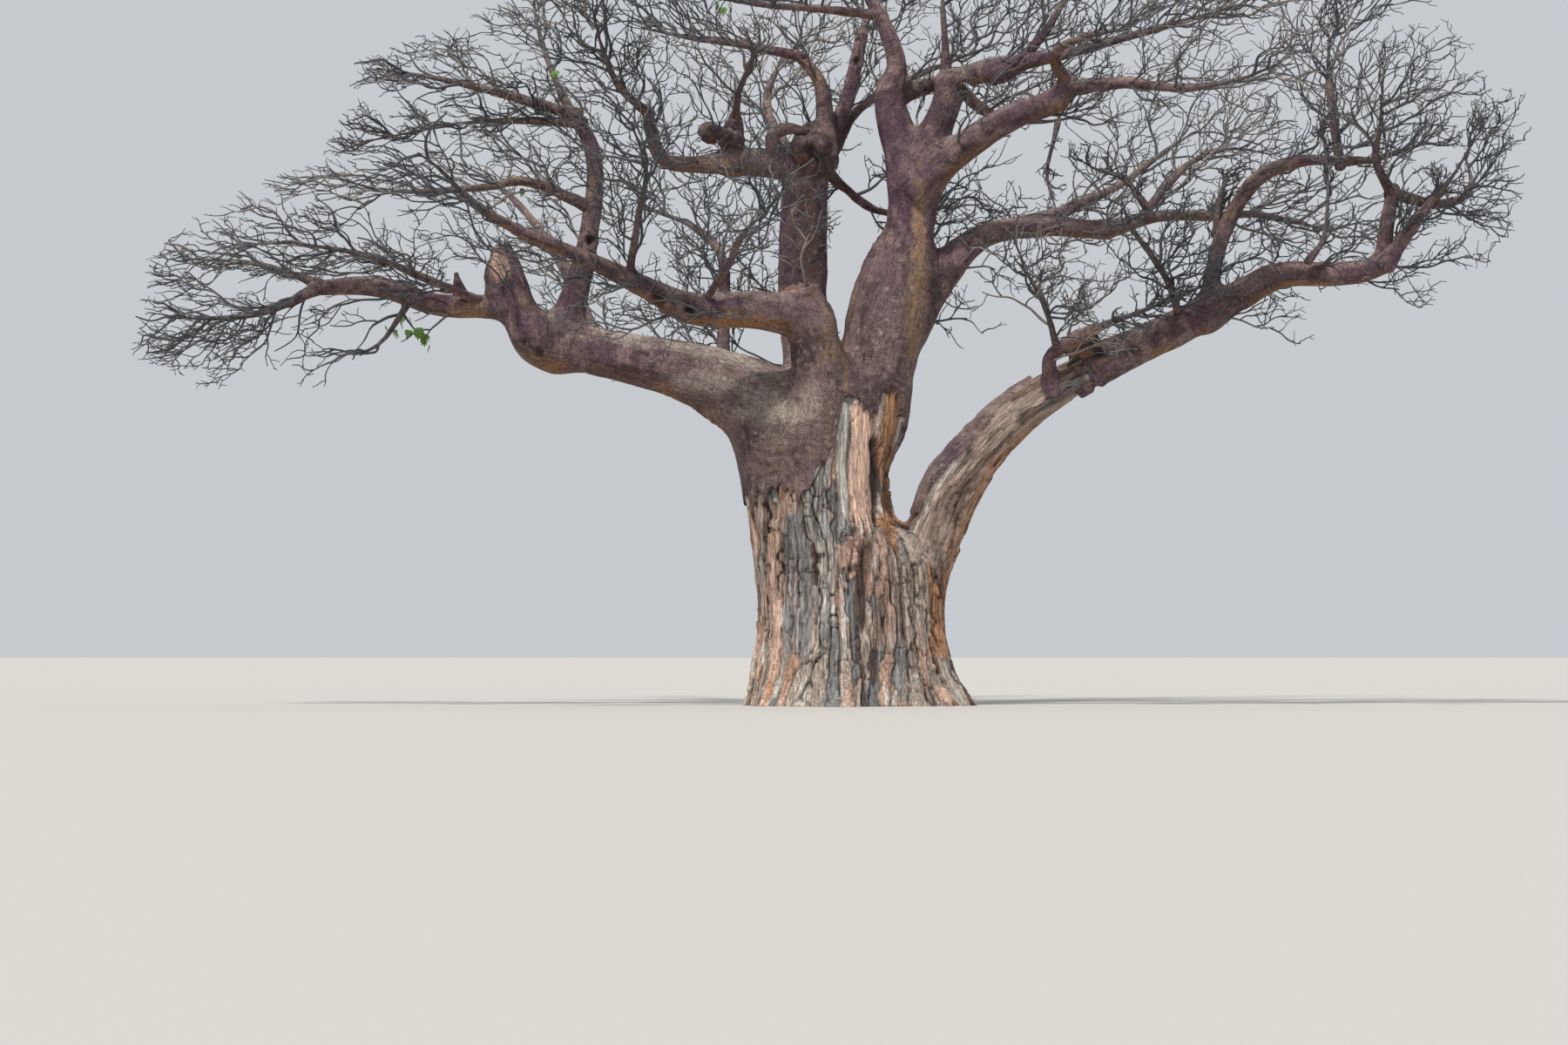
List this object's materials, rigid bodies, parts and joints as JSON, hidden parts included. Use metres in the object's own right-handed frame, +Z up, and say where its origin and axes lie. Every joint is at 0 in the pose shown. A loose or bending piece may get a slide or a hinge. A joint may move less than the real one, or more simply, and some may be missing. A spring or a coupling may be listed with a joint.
{
  "type": "baobab tree",
  "caption": "Old baobab tree with a bare crown: stout fluted trunk, thick tapering boughs and wide sprays of leafless twigs, rooted in level ground.",
  "frame": {"origin": "on level ground under the middle of the trunk, in the flat cut at ground level", "axes": "+Z up, +X to the right of the pictured side and along the crown's greatest spread, +Y away from that side"},
  "size_m": [26.3289, 15.6154, 15.3979],
  "materials": {
    "trunk_bark": "matte, fissured bare wood under a jagged edge of grey-brown bark",
    "bough_bark": "matte, smooth purplish grey-brown bark",
    "twigs": "matte, dark slate-grey twigs"
  },
  "bodies": {
    "root": {"trunk": "trunk_bark", "bough_left": "bough_bark", "bough_left_low": "bough_bark", "bough_left_stub": "bough_bark", "bough_left_rise": "bough_bark", "bough_front_base": "bough_bark", "bough_front_arm": "bough_bark", "bough_centre": "bough_bark", "bough_centre_left": "bough_bark", "bough_centre_shoot": "bough_bark", "bough_centre_top": "bough_bark", "bough_centre_right": "bough_bark", "bough_right_centre": "bough_bark", "bough_right_tall": "bough_bark", "bough_right_stub": "bough_bark", "bough_right_high": "bough_bark", "bough_right_fork": "bough_bark", "bough_right_mid": "bough_bark", "bough_right_low": "bough_bark", "bough_right_end": "bough_bark", "bough_right_end_up": "bough_bark", "bough_right_rise": "bough_bark", "bough_right_burl": "bough_bark", "bough_back_centre": "bough_bark", "bough_back_right": "bough_bark", "bough_back_left": "bough_bark", "twigs_left_low_tip": "twigs", "twigs_left_low_rise": "twigs", "twigs_left_low_under": "twigs", "twigs_left_low_over": "twigs", "twigs_left_shelf": "twigs", "twigs_left_top": "twigs", "twigs_left_crest": "twigs", "twigs_front_tip": "twigs", "twigs_front_up": "twigs", "twigs_front_riser": "twigs", "twigs_behind_left": "twigs", "twigs_centre_left": "twigs", "twigs_centre_shoot": "twigs", "twigs_centre_top": "twigs", "twigs_centre_right": "twigs", "twigs_behind_right": "twigs", "twigs_behind_low": "twigs", "twigs_crown_top": "twigs", "twigs_crown_left": "twigs", "twigs_tall_arm": "twigs", "twigs_right_high": "twigs", "twigs_right_crest": "twigs", "twigs_right_shelf": "twigs", "twigs_right_up": "twigs", "twigs_right_mid_tip": "twigs", "twigs_right_mid_up": "twigs", "twigs_right_end_up": "twigs", "twigs_right_tip": "twigs", "twigs_right_shoot": "twigs", "twigs_right_inner": "twigs", "twigs_burl": "twigs", "twigs_back_centre": "twigs", "twigs_back_right": "twigs", "twigs_back_left": "twigs"}
  },
  "joints": []
}
